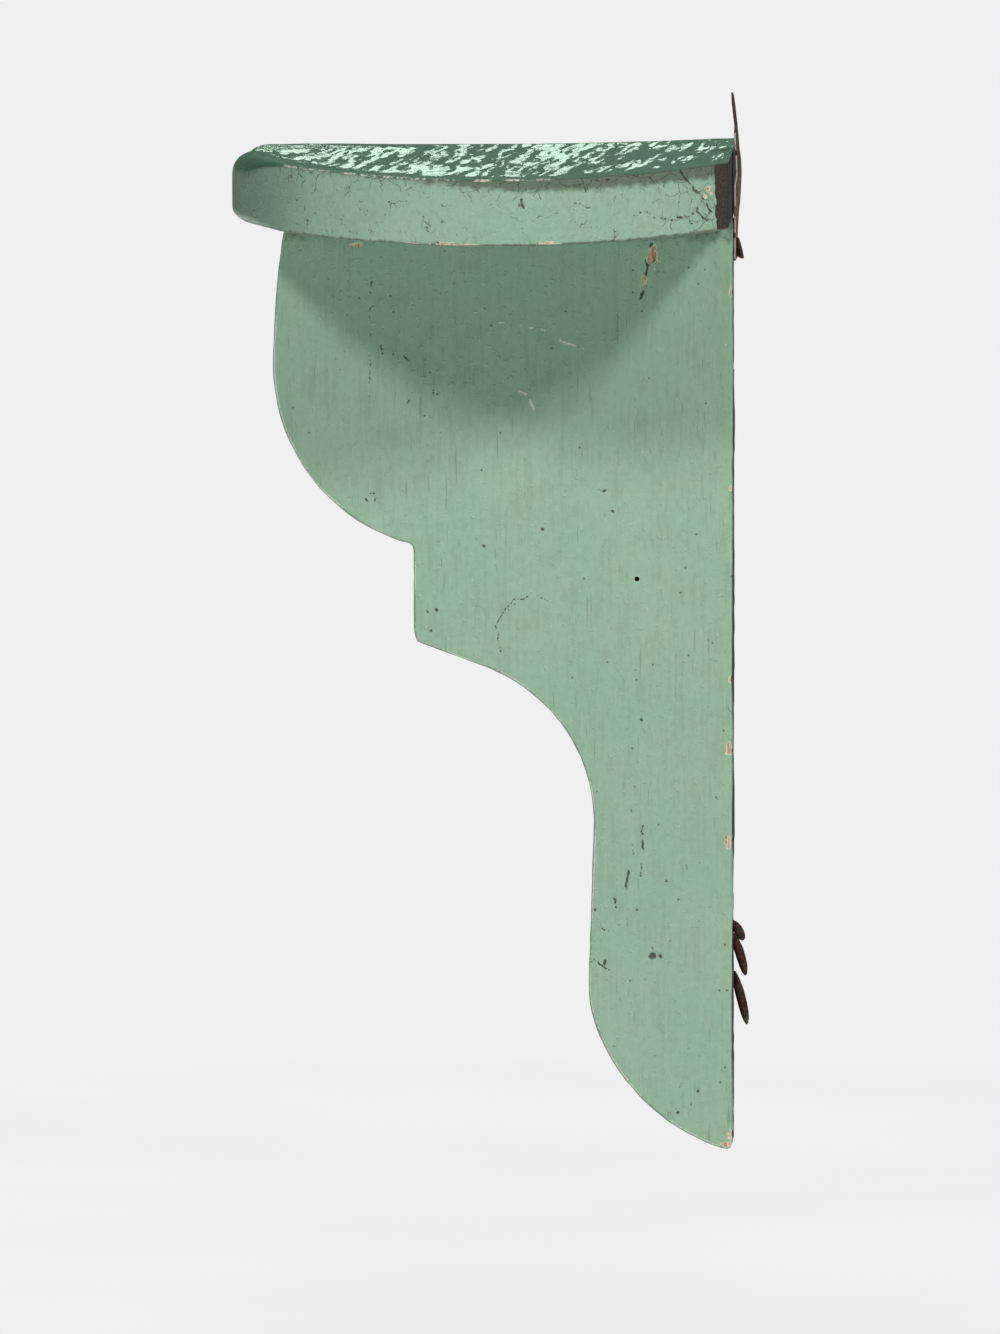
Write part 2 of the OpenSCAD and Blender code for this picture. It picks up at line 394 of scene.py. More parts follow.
def bracket_marks(foot_z):
    """Marks on the bracket's near side."""
    marks = Marks(foot_z)
    marks.arc((66.7, 172.7), 12, 213, 60, 0.4, 0.2)
    marks.arc((66.7, 172.7), 12, 60, 33, 0.3, 0.1)
    # Negative depths are raised lines, which get a pale painted highlight.
    marks.arc((72.6, 247.5), 6, 75, -5, 0.8, -0.3)
    marks.arc((80, 273), 3.4, 100, 30, 0.3, 0.08)
    marks.crack([(77.7, 275.7), (70, 275), (62.7, 273.5), (57.7, 270), (48.7, 266.7)], 0.5, -0.12)
    for place, radius, depth in (
            ((43, 219.7), 0.8, 0.35), ((39.7, 213.3), 0.6, 0.25), ((63.3, 206.7), 0.7, 0.25),
            ((82.7, 201.7), 0.7, 0.2), ((102, 179), 0.6, 0.3), ((98.7, 180), 0.7, 0.25),
            ((100.7, 173), 0.6, 0.3), ((27, 64.3), 1.0, 0.3), ((42.7, 62.7), 0.8, 0.2)):
        marks.pit(place, radius, depth)
    # Under the board: cracks round an old repair, scratches, and a few blisters.
    marks.crack([(27, 302.5), (27.8, 298), (28.6, 294), (29.4, 290), (31, 284)], 0.7, 0.35)
    marks.crack([(26, 297), (28, 295)], 0.45, 0.25)
    marks.crack([(30.2, 301), (28.8, 296)], 0.45, 0.25)
    marks.chip((26.6, 297.6), (1.9, 4.0), 0.25, 31)
    marks.chip((29.6, 289), (0.9, 3.0), 0.2, 32)
    marks.chip((125, 301.5), (2.3, 0.9), 0.25, 33)
    scratch = [(120.6, 302), (120.2, 292), (120.9, 282), (120.4, 271), (121, 258), (120.6, 249)]
    marks.crack(scratch, 0.35, 0.17)
    marks.crack([(116, 277), (116.4, 262), (116, 246)], 0.3, 0.13)
    marks.crack([(128, 290), (127.6, 283), (128.3, 278)], 0.3, 0.15)
    marks.crack([(109, 271), (109.3, 265), (107.2, 262.6)], 0.4, 0.2)
    marks.crack([(116.8, 268.5), (116.6, 265)], 0.4, 0.2)
    marks.crack([(24, 302), (24.6, 296)], 0.3, 0.14)
    marks.crack([(30, 257), (29.6, 215), (30.3, 165), (30, 124)], 0.25, 0.09)
    blisters = (((120.3, 217.3), 1.6), ((106.7, 249.3), 1.4), ((98.7, 253), 1.2), ((114, 243.5), 1.0))
    for place, radius in blisters:
        marks.arc(place, radius, 0, 360, 0.35, 0.22)
    # Down the leg: two broken lines of fine cracks and a few knocks.
    marks.crack([(30.6, 141.6), (35, 140.8), (34.7, 135.5)], 0.3, 0.13)
    marks.crack([(35.2, 130), (32.3, 129.3)], 0.3, 0.12)
    marks.crack([(35.3, 124), (33.7, 122.3), (31, 119.3), (30, 116.5)], 0.35, 0.17)
    marks.crack([(33.8, 114), (33, 109.8)], 0.45, 0.2)
    marks.crack([(44.3, 109.5), (42.7, 104.5), (45.3, 101)], 0.3, 0.13)
    marks.crack([(30, 108), (30, 99.5)], 0.45, 0.24)
    marks.crack([(33.3, 101.8), (33.1, 98.6)], 0.35, 0.17)
    marks.crack([(30.2, 96), (30.6, 91)], 0.45, 0.22)
    marks.crack([(34.7, 93), (36, 85.6)], 0.5, 0.28)
    marks.crack([(39.4, 83.6), (38.9, 80.6)], 0.5, 0.25)
    marks.crack([(40.4, 76), (41.6, 72)], 0.3, 0.13)
    marks.crack([(43.8, 73.6), (42.6, 73)], 0.6, 0.22)
    marks.crack([(46.2, 63.6), (44.3, 62), (41.3, 60.2)], 0.55, 0.3)
    marks.crack([(27, 71), (26.8, 66)], 0.35, 0.17)
    for place, radius in (((30, 143.7), 0.7), ((26.8, 64.4), 1.4), ((24.1, 64.4), 0.8), ((31.9, 79.8), 0.6),
                          ((22.1, 89.4), 0.5), ((45.5, 80.2), 0.5), ((11.6, 19.8), 0.6), ((18, 12.3), 0.6)):
        marks.pit(place, radius, 0.25)
    for place, size, seed in (
            ((1.2, 134), (1.3, 2.2), 41), ((1.2, 103), (1.4, 2.8), 42), ((0.7, 221), (0.8, 2.0), 43),
            ((0.6, 286), (0.6, 2.4), 44), ((0.7, 5), (0.9, 2.0), 45), ((0.5, 157), (0.7, 1.6), 46),
            ((1.6, 1.6), (2.4, 1.0), 47)):
        marks.chip(place, size, 0.3, seed)
    return marks


def bracket_far_marks(foot_z):
    """Marks on the bracket's far side, which hangs in shade."""
    marks = Marks(foot_z)
    marks.crack([(24, 300), (25, 288), (24.4, 271), (25.2, 262)], 0.4, 0.2)
    marks.crack([(88, 298), (88.6, 281), (87.8, 266)], 0.3, 0.15)
    marks.crack([(18, 120), (18.6, 104), (18, 88)], 0.3, 0.15)
    marks.arc((70, 210), 9, 20, 120, 0.3, 0.12)
    for place, radius, depth in (((60, 250), 0.8, 0.3), ((96, 228), 0.7, 0.25), ((30, 160), 0.7, 0.25)):
        marks.pit(place, radius, depth)
    for place, size, seed in (
            ((0.8, 262), (1.0, 3.0), 61), ((1.0, 84), (1.2, 2.6), 62), ((2.0, 2.0), (2.4, 1.4), 63)):
        marks.chip(place, size, 0.3, seed)
    return marks


def board_edge_marks(foot_z):
    """Marks on the near half of the board's edge."""
    marks = Marks(foot_z)
    marks.crack([(15.5, 330.8), (12.7, 326.9), (10.5, 323.8), (8.5, 321.9)], 0.5, 0.4)
    marks.crack([(8.5, 321.1), (10.2, 318.1), (10.5, 316.6), (6, 313.3)], 0.5, 0.35)
    marks.crack([(10.5, 316.6), (16, 315), (22.7, 313.3)], 0.4, 0.25)
    marks.crack([(7.1, 319.8), (5.5, 316.4)], 0.4, 0.3)
    marks.crack([(21, 331.5), (19.5, 328), (21, 325)], 0.3, 0.18)
    marks.crack([(34, 318), (30, 316.5), (27, 318), (24, 315)], 0.35, 0.2)
    marks.crack([(49, 321), (46, 319.5), (43, 320.5)], 0.35, 0.2)
    marks.crack([(70, 323), (68, 319), (69.5, 315)], 0.35, 0.2)
    marks.crack([(67.5, 322), (66.5, 319)], 0.7, 0.3)
    marks.crack([(69.5, 320.3), (64.5, 319.2)], 0.5, 0.25)
    marks.crack([(88, 330), (86, 325), (84, 321)], 0.3, 0.15)
    marks.crack([(128, 319), (124, 316.5), (121, 318), (118, 315)], 0.3, 0.15)
    marks.chip((7.0, 324.6), (1.0, 0.8), 0.3, 51)
    marks.chip((7.6, 321.8), (0.7, 0.9), 0.3, 54)
    marks.chip((5.6, 322.8), (0.6, 0.8), 0.2, 55)
    marks.chip((88, 307.0), (9, 0.7), 0.2, 56)
    marks.chip((104, 307.2), (3, 0.6), 0.2, 57)
    marks.chip((58, 307.6), (3.5, 0.6), 0.2, 58)
    return marks


# ---------------------------------------------------------------- materials

def add(tree, kind, inputs=None, take=0, **settings):
    """Adds a node, sets its properties, fills or links its inputs, and gives back one of its outputs."""
    node = tree.nodes.new(kind)
    for key, value in settings.items():
        setattr(node, key, value)
    for key, value in (inputs or {}).items():
        if isinstance(value, bpy.types.NodeSocket):
            tree.links.new(value, node.inputs[key])
        else:
            node.inputs[key].default_value = value
    return node.outputs[take] if node.outputs else node


def new_material(name):
    """An empty node material with its output, and the row frame's coordinates."""
    material = bpy.data.materials.new(name)
    material.use_nodes = True
    tree = material.node_tree
    tree.nodes.clear()
    output = add(tree, "ShaderNodeOutputMaterial")
    place = add(tree, "ShaderNodeTexCoord", take="Object")
    return material, tree, output, place


def lumps(tree, place, size, detail=3.0, stretch=(1, 1, 1), rough=0.55):
    """A noise pattern with lumps of a size in millimetres, drawn out by stretch along each axis."""
    squeezed = add(tree, "ShaderNodeVectorMath", {0: place, 1: [1 / s for s in stretch]},
                   operation="MULTIPLY")
    return add(tree, "ShaderNodeTexNoise",
               {"Vector": squeezed, "Scale": 1 / (size * MM), "Detail": detail, "Roughness": rough})


def lay(tree, under, over, pattern, low, high, strength=1.0):
    """Lays one colour over another, up to a strength, as a pattern's value goes from low to high."""
    cover = add(tree, "ShaderNodeMapRange",
                {"Value": pattern, "From Min": low, "From Max": high, "To Max": strength},
                interpolation_type="SMOOTHSTEP")
    return add(tree, "ShaderNodeMix", {0: cover, 6: under, 7: over}, take=2, data_type="RGBA")


PAINT_MARKS = ("dirt", "crackle", "wear", "crack", "chip", "back", "used", "polish", "soil")


def oil_paint_on_pine(name, grain, paint):
    """Old sage-green oil paint, brushed on pine: satin and slightly uneven in colour, with the grain and brush
    marks showing through, fly specks, grime, bare aged wood where it has come off, painted shade under edges,
    on the front, on the top and on the board's back, and a pale painted highlight on some arrises and raised
    lines.
    grain is how far the pattern is drawn out along each axis."""
    material, tree, output, place = new_material(name)
    mark = {kind: add(tree, "ShaderNodeAttribute", take="Fac", attribute_name=kind, attribute_type="GEOMETRY")
            for kind in PAINT_MARKS}

    # The coat: cooler and warmer patches, faint streaks along the grain, and a little mottling.
    cloud = lumps(tree, place, 9, 4.0)
    streaks = lumps(tree, place, 1.6, 3.0, grain)
    mottle = lumps(tree, place, 2.0, 6.0)
    patchy_streaks = add(tree, "ShaderNodeMath", {0: streaks, 1: cloud}, operation="MULTIPLY")
    colour = lay(tree, paint.green, paint.blue_green, lumps(tree, place, 45, 2.0), 0.35, 0.65)
    colour = lay(tree, colour, paint.yellow_green, cloud, 0.45, 0.75, 0.35)
    colour = lay(tree, colour, paint.dark_green, patchy_streaks, 0.2, 0.42, 0.5)
    colour = lay(tree, colour, paint.dark_green, mottle, 0.5, 0.72, 0.35)
    colour = lay(tree, colour, paint.light_green, mottle, 0.5, 0.28, 0.25)

    # Fine scuffs along the grain, and pale and dark flecks.
    flecks = lumps(tree, place, 1.7, 5.0, rough=0.75)
    colour = lay(tree, colour, paint.dirt, lumps(tree, place, 1.3, 2.0, grain, 0.7), 0.66, 0.72, 0.3)
    colour = lay(tree, colour, paint.undercoat_and_highlight, flecks, 0.66, 0.73, 0.45)
    colour = lay(tree, colour, paint.dirt, flecks, 0.34, 0.27, 0.45)

    # Fly specks and pinholes: sparse dots, some near a millimetre and many far smaller.
    for gap, share, biggest in ((5.5, 0.55, 0.08), (2.4, 0.7, 0.1)):
        dots = add(tree, "ShaderNodeTexVoronoi", {"Vector": place, "Scale": 1 / (gap * MM)})
        chance = add(tree, "ShaderNodeSeparateColor", {"Color": dots.node.outputs["Color"]})
        size = add(tree, "ShaderNodeMapRange", {"Value": chance, "From Min": share, "To Max": biggest},
                   interpolation_type="SMOOTHSTEP")
        inside = add(tree, "ShaderNodeMath", {0: size, 1: dots}, operation="SUBTRACT")
        colour = lay(tree, colour, paint.speck, inside, -0.01, 0.03, 0.75)

    # Painted shade darkens the edges that face the front and the top faces, and grime and painted shade lie in
    # patches where their mark says.
    grime_and_shade = add(tree, "ShaderNodeMath", {0: lumps(tree, place, 2.2, 4.0), 1: 0.7, 2: mark["dirt"]},
                operation="MULTIPLY_ADD")
    colour = lay(tree, colour, paint.front_shade_green, mark["soil"], 0, 1, 0.6)
    colour = lay(tree, colour, paint.top_shade_green, mark["used"], 0, 1, 0.9)
    colour = lay(tree, colour, paint.dirt, grime_and_shade, 0.62, 1.1, 0.8)

    # Fine crackle: broken, wandering hairlines a few millimetres long, only where the mark lets them show.
    warp = add(tree, "ShaderNodeTexNoise", {"Vector": place, "Scale": 1 / (3 * MM), "Detail": 3.0},
               take="Color")
    wander = add(tree, "ShaderNodeVectorMath", {0: warp, "Scale": 4.5 * MM}, operation="SCALE")
    bent = add(tree, "ShaderNodeVectorMath", {0: place, 1: wander}, operation="ADD")
    cells = add(tree, "ShaderNodeTexVoronoi", {"Vector": bent, "Scale": 1 / (6.5 * MM)}, take="Distance",
                feature="DISTANCE_TO_EDGE")
    hairline = add(tree, "ShaderNodeMapRange",
                   {"Value": cells, "From Max": 0.022, "To Min": 1.0, "To Max": 0.0},
                   interpolation_type="SMOOTHSTEP")
    reach = add(tree, "ShaderNodeMath", {0: mark["crackle"], 1: 0.3, 2: lumps(tree, place, 3.2)},
                operation="MULTIPLY_ADD")
    allowed = add(tree, "ShaderNodeMapRange", {"Value": reach, "From Min": 0.66, "From Max": 0.76},
                  interpolation_type="SMOOTHSTEP")
    crackle = add(tree, "ShaderNodeMath", {0: hairline, 1: allowed}, operation="MULTIPLY")
    opened = add(tree, "ShaderNodeMapRange", {"Value": mark["crack"], "From Min": 0.2, "From Max": 0.65},
                 interpolation_type="SMOOTHSTEP")
    crack = add(tree, "ShaderNodeMath", {0: opened, 1: crackle}, operation="MAXIMUM")
    colour = lay(tree, colour, paint.crack, crack, 0, 1, 0.85)

    # Wear on the arrises thins the paint to its pale first coat, and the same pale colour paints a highlight
    # along part of the board's near top arris and on the bracket's raised lines; chips go through to the wood.
    ragged = lumps(tree, place, 1.1)
    fibres = lumps(tree, place, 0.8, 4.0, grain)
    worn_and_highlit = add(tree, "ShaderNodeMath", {0: ragged, 1: 0.8, 2: mark["wear"]}, operation="MULTIPLY_ADD")
    chip = add(tree, "ShaderNodeMath", {0: ragged, 1: 0.5, 2: mark["chip"]}, operation="MULTIPLY_ADD")
    wood = lay(tree, paint.raw_wood, paint.stained_wood, fibres, 0.42, 0.68)
    colour = lay(tree, colour, paint.undercoat_and_highlight, worn_and_highlit, 1.0, 1.25, 0.85)
    colour = lay(tree, colour, paint.undercoat_and_highlight, chip, 0.62, 0.75)
    colour = lay(tree, colour, wood, chip, 0.85, 1.05)

    # The back was never painted: old dark wood, with the paint ending in a ragged line. The board's back face
    # is
    # painted near black: painted shade.
    unpainted = add(tree, "ShaderNodeMath", {0: ragged, 1: 0.35, 2: mark["back"]}, operation="MULTIPLY_ADD")
    aged = lay(tree, paint.aged_wood, paint.dark_wood, fibres, 0.3, 0.7)
    shaded_back_wood = lay(tree, paint.dark_wood, paint.back_shade, fibres, 0.3, 0.6)
    colour = lay(tree, colour, aged, unpainted, 0.6, 0.72)
    colour = lay(tree, colour, shaded_back_wood, mark["back"], 1.2, 1.8)

    # Gloss: satin paint, dull wood, and dull patches where grime and painted shade lie. The top is dusty, with
    # its brush strokes' crests glossier.
    bare = add(tree, "ShaderNodeMapRange", {"Value": chip, "From Min": 0.85, "From Max": 1.05})
    back = add(tree, "ShaderNodeMapRange", {"Value": unpainted, "From Min": 0.6, "From Max": 0.72})
    open_wood = add(tree, "ShaderNodeMath", {0: bare, 1: back}, operation="MAXIMUM")
    dusty = add(tree, "ShaderNodeMapRange",
                {"Value": grime_and_shade, "From Min": 0.62, "From Max": 1.1, "To Max": 0.6})
    dull = add(tree, "ShaderNodeMath", {0: open_wood, 1: dusty}, operation="MAXIMUM")
    satin = add(tree, "ShaderNodeMapRange",
                {"Value": cloud, "From Min": 0.3, "From Max": 0.7, "To Min": 0.32, "To Max": 0.42})
    brushed = add(tree, "ShaderNodeMath", {0: lumps(tree, place, 0.6, 3.0, grain), 1: 1.4, 2: mark["polish"]},
                  operation="MULTIPLY_ADD")
    crests = add(tree, "ShaderNodeMapRange",
                 {"Value": brushed, "From Min": 0.95, "From Max": 1.25, "To Min": 0.55, "To Max": 0.16},
                 interpolation_type="SMOOTHSTEP")
    sheen = add(tree, "ShaderNodeMix", {0: mark["used"], 2: satin, 3: crests}, data_type="FLOAT")
    rough = add(tree, "ShaderNodeMix", {0: dull, 2: sheen, 3: 0.95}, data_type="FLOAT")

    # Relief: brush marks and small bumps in the coat, open cracks, and fibres in the bare wood.
    bumps = add(tree, "ShaderNodeMapRange",
                {"Value": lumps(tree, place, 2.2), "From Min": 0.58, "From Max": 0.72, "To Max": 2.2},
                interpolation_type="SMOOTHSTEP")
    brush = add(tree, "ShaderNodeMath",
                {0: lumps(tree, place, 0.7, 2.0, grain), 1: lumps(tree, place, 1.3, 2.0)}, operation="ADD")
    coat = add(tree, "ShaderNodeMath", {0: brush, 1: bumps}, operation="ADD")
    even = add(tree, "ShaderNodeMapRange", {"Value": mark["used"], "To Min": 0.6, "To Max": 0.1})
    relief = add(tree, "ShaderNodeMath", {0: coat, 1: even}, operation="MULTIPLY")
    relief = add(tree, "ShaderNodeMath", {0: crack, 1: -1.6, 2: relief}, operation="MULTIPLY_ADD")
    relief = add(tree, "ShaderNodeMath", {0: open_wood, 1: -0.8, 2: relief}, operation="MULTIPLY_ADD")
    relief = add(tree, "ShaderNodeMath", {0: open_wood, 1: fibres, 2: relief}, operation="MULTIPLY_ADD")
    bump = add(tree, "ShaderNodeBump", {"Height": relief, "Strength": 0.7, "Distance": 0.2 * MM})
    shader = add(tree, "ShaderNodeBsdfPrincipled",
                 {"Base Color": colour, "Roughness": rough, "Normal": bump, "IOR": 1.5})
    tree.links.new(shader, output.inputs["Surface"])
    return material


def rusted_iron(name, dark, rust, pale, lump, rub_colour, rub_shine):
    """Iron rusted in open air: matt brown oxide, mottled from near black to brown, with a scaly surface. Where
    the mark says, it is rubbed to bare metal or touched with paint, in ragged flecks. lump is the size of the
    scale."""
    material, tree, output, place = new_material(name)
    rub, char = (add(tree, "ShaderNodeAttribute", take="Fac", attribute_name=kind, attribute_type="GEOMETRY")
                 for kind in ("rub", "char"))
    scale = lumps(tree, place, lump, 5.0)
    pits = lumps(tree, place, lump * 0.35)
    flecks = add(tree, "ShaderNodeMath", {0: pits, 1: 0.8, 2: rub}, operation="MULTIPLY_ADD")
    colour = lay(tree, dark, rust, lumps(tree, place, lump * 4, 4.0), 0.38, 0.62)
    colour = lay(tree, colour, pale, scale, 0.5, 0.7, 0.7)
    colour = lay(tree, colour, dark, char, 0, 1, 0.9)
    colour = lay(tree, colour, rub_colour, flecks, 0.85, 1.1, 0.9)
    relief = add(tree, "ShaderNodeMath", {0: pits, 1: 0.6, 2: scale}, operation="MULTIPLY_ADD")
    bump = add(tree, "ShaderNodeBump", {"Height": relief, "Strength": 0.8, "Distance": 0.15 * MM})
    rubbed = {"Value": flecks, "From Min": 0.85, "From Max": 1.1}
    rough = add(tree, "ShaderNodeMapRange", rubbed | {"To Min": 0.82, "To Max": 0.45})
    shine = add(tree, "ShaderNodeMapRange", rubbed | {"To Max": rub_shine}) if rub_shine else 0.0
    shader = add(tree, "ShaderNodeBsdfPrincipled",
                 {"Base Color": colour, "Roughness": rough, "Metallic": shine, "Normal": bump})
    tree.links.new(shader, output.inputs["Surface"])
    return material


# ---------------------------------------------------------------- settings

class PaintSettings(bpy.types.PropertyGroup):
    """Colours of the paint and the wood under it, and of its painted shade and painted highlight."""
    green: colour_property("Green", "Main colour of the paint", "#98BBA0")
    blue_green: colour_property("Blue green", "Cooler patches of the paint", "#93B89F")
    yellow_green: colour_property("Yellow green", "Warmer patches of the paint", "#9DBC9E")
    dark_green: colour_property("Dark green", "Streaks where the grain shows through", "#84A48B")
    light_green: colour_property("Light green", "Raised flecks that catch the light", "#ACCBB2")
    speck: colour_property("Specks", "Fly specks and pinholes", "#3E3B2E")
    # Painted shade: the colour of the edges that face the front, and down on the bracket.
    front_shade_green: colour_property("Soiled paint", "Paint darkened by handling", "#5C7263")
    # Painted shade: the colour of the board's top faces, painted darker.
    top_shade_green: colour_property("Polished paint", "Paint darkened and polished by use on the top", "#33644A")
    # Grime, and painted shade under edges, in corners and in the old nail hole.
    dirt: colour_property("Dirt", "Grime in hollows and under edges", "#4C5442")
    crack: colour_property("Cracks", "Dirt in the cracks", "#2E271C")
    # The pale first coat, also used as a pale painted highlight on some arrises and raised lines.
    undercoat_and_highlight: colour_property("Undercoat", "Pale undercoat where the paint is worn", "#DDE2D0")
    raw_wood: colour_property("Raw wood", "Wood in a fresh chip", "#D6C9AC")
    stained_wood: colour_property("Stained wood", "Wood in an old chip", "#9C6232")
    aged_wood: colour_property("Aged wood", "Unpainted wood at the back", "#4A4234")
    dark_wood: colour_property("Dark wood", "Darker grain of the unpainted wood", "#2E2920")
    # Painted shade: the near-black colour of the board's back face.
    back_shade: colour_property("Sooty wood", "Dark streaks on the board's back", "#120E0B")


class IronSettings(bpy.types.PropertyGroup):
    """Colours of the rusted strap and nails."""
    strap_dark: colour_property("Strap, dark", "Dark scale on the strap", "#2A211C")
    strap_rust: colour_property("Strap, rust", "Brown rust on the strap", "#80583A")
    strap_pale: colour_property("Strap, pale", "Tan rust and dust on the strap", "#B08A5C")
    nail_dark: colour_property("Nails, dark", "Near-black iron of the nails", "#17100E")
    nail_rust: colour_property("Nails, rust", "Red-brown rust of the nails", "#4A2018")
    nail_pale: colour_property("Nails, pale", "Grey bloom on the nails", "#5E4A40")
    bright: colour_property("Rubbed metal", "Metal rubbed bright at the strap's edges", "#D5CFCB")
    fleck: colour_property("Paint flecks", "Paint caught on the nails' ends", "#8FAF95")


class ShapeSettings(bpy.types.PropertyGroup):
    """Sizes of the wear that the frame doesn't hold."""
    arris: length_property("Arris", "Radius that wear has left on the boards' arrises", 1.1)
    nose_wear: length_property("Nose wear", "Extra radius at the board's front tip, top side", 7.5)
    ridge: length_property("Brush ridges", "Height of the brush ridges on the board's top", 0.16)
    ridge_gap: length_property("Ridge spacing", "Distance between brush ridges", 1.7)
    old_hole: length_property("Old nail hole", "Radius of the empty nail hole in the bracket", 0.85)
    strap_thick: length_property("Strap thickness", "Thickness that rust has left of the strap", 0.6)
    strap_hole: length_property("Hanging hole", "Radius of the strap's hanging hole", 2.5)
    strap_nail_tilt: bpy.props.FloatProperty(name="Strap nail tilt", description="How far its nail slants down",
                                             subtype="ANGLE", default=math.radians(14))
    leg_nail_shank: length_property("Clenched nail shank", "Radius of a clenched nail's shank", 1.3)
    leg_nail_head: length_property("Clenched nail head", "Radius of a clenched nail's head", 3.0)


class StageSettings(bpy.types.PropertyGroup):
    """Camera, lights and floor."""
    azimuth: bpy.props.FloatProperty(name="Azimuth", description="Camera direction, 90 looks along -X",
                                     subtype="ANGLE", default=math.radians(92.1))
    elevation: bpy.props.FloatProperty(name="Elevation", description="Camera height angle",
                                       subtype="ANGLE", default=math.radians(4.9))
    distance: bpy.props.FloatProperty(name="Distance", description="Camera distance", unit="LENGTH",
                                      default=7.0)
    view_height: length_property("View height", "Height that the picture takes in", 443.6)
    pale: colour_property("Pale grey", "Floor and background", "#F0F0F0")
    pale_shade: colour_property("Pale grey, darker", "Cloudy patches of the floor", "#EEEEEE")
    key_colour: colour_property("Key light", "Colour of the two key lights", "#FFF6F8")
    fill_colour: colour_property("Fill light", "Colour of the fill light, the strip and the room", "#DFFFE8")


SETTINGS = {"shelf_paint": PaintSettings, "shelf_iron": IronSettings, "shelf_shape": ShapeSettings,
            "shelf_stage": StageSettings}


# ---------------------------------------------------------------- operators

BOARD_NAILS = ("rear", "middle", "front")


def brush_strokes(board, verts, rim, gap):
    """Brush strokes on the board's top. They run along X and partly follow the rim at the front.

    Returned are their relief and how glossy their crests are. rim is each point's distance from the rim."""
    x, y = verts[:, 0], verts[:, 1]
    frontness = smooth_step(-y, 0.45 * board.depth, 0.8 * board.depth)
    follow = 0.6 * frontness * (1 - smooth_step(rim, 4, 18))
    turned = y + 0.06 * x
    run = turned * (1 - follow) - (board.plan_r - rim) * follow
    run = run + 1.2 * lattice_noise(verts, (26, 9, 40), 21)
    stroke = np.column_stack([x, run])
    daub = lattice_noise(stroke, (16, gap), 22) + 0.7 * lattice_noise(stroke, (9, 0.6 * gap), 23)
    ridges = np.sin(2 * np.pi * run / gap) * np.clip(0.3 + lattice_noise(stroke, (24, 3 * gap), 24), 0, 1)

    patches = lattice_noise(stroke, (60, 14), 38) + 0.6 * lattice_noise(stroke, (30, 5), 39)
    crest = lattice_noise(stroke, (22, 1.2), 40) + 0.5 * lattice_noise(stroke, (7, 0.8), 41) + 0.35 * patches
    crest = crest - 0.35 * smooth_step(y, -0.3 * board.depth, -0.1 * board.depth)
    inset = np.where(x > 0, smooth_step(rim, 5, 24), smooth_step(rim, 1, 9))
    return daub + 0.5 * ridges, smooth_step(crest, -0.35, 0.5) * inset


def board_wear(board, verts, facing, through, on_edge):
    """Where the board has grime and painted shade, crackle, rubbed arrises with a painted highlight, a top
    painted darker as painted shade, and painted shade at its front. through runs from 0 at its underside to 1
    at its top."""
    x, y = verts[:, 0], verts[:, 1]
    outwards = np.hypot(facing[:, 0], facing[:, 1])
    rear = smooth_step(y, -0.7 * board.depth, -0.35 * board.depth)
    # A band of grime along the edge under the top arris, heavier towards the wall.
    dirt = on_edge * smooth_step(through, 0.78 - 0.14 * rear, 1.0) * (0.5 + 0.7 * rear)
    # Painted shade along the bottom arris, and on the underside where it sits over the bracket.
    dirt = np.maximum(dirt, 0.75 * (1 - smooth_step(through, 0.0, 0.1)) * (facing[:, 2] > -0.95))
    dirt = np.maximum(dirt, 0.5 * (facing[:, 2] < -0.9) * (1 - smooth_step(np.abs(x), 11, 16)))
    crackle = 0.5 * smooth_step(through, 0.6, 0.95) + 0.9 * smooth_step(y, -32, -8) + 0.4
    on_arris = np.clip(4 * facing[:, 2] * outwards, 0, 1) ** 2
    # A stretch of the near top arris gets a pale painted highlight.
    highlight_line = (x > 0) * smooth_step(-y, 50, 62) * (1 - smooth_step(-y, 145, 152)) * (facing[:, 2] > 0)
    highlight_line = highlight_line * (0.55 + 0.45 * lattice_noise(verts, (5, 5, 5), 43))
    return {"dirt": dirt, "crackle": on_edge * np.clip(crackle, 0, 1),
            # The top faces are painted darker as painted shade, and made glossier with smaller relief.
            "wear": (0.45 + 0.4 * highlight_line) * on_arris, "used": smooth_step(facing[:, 2], 0.05, 0.5),
            # Painted shade on the front of the edge.
            "soil": on_edge * smooth_step(-y, board.depth - 42, board.depth)}


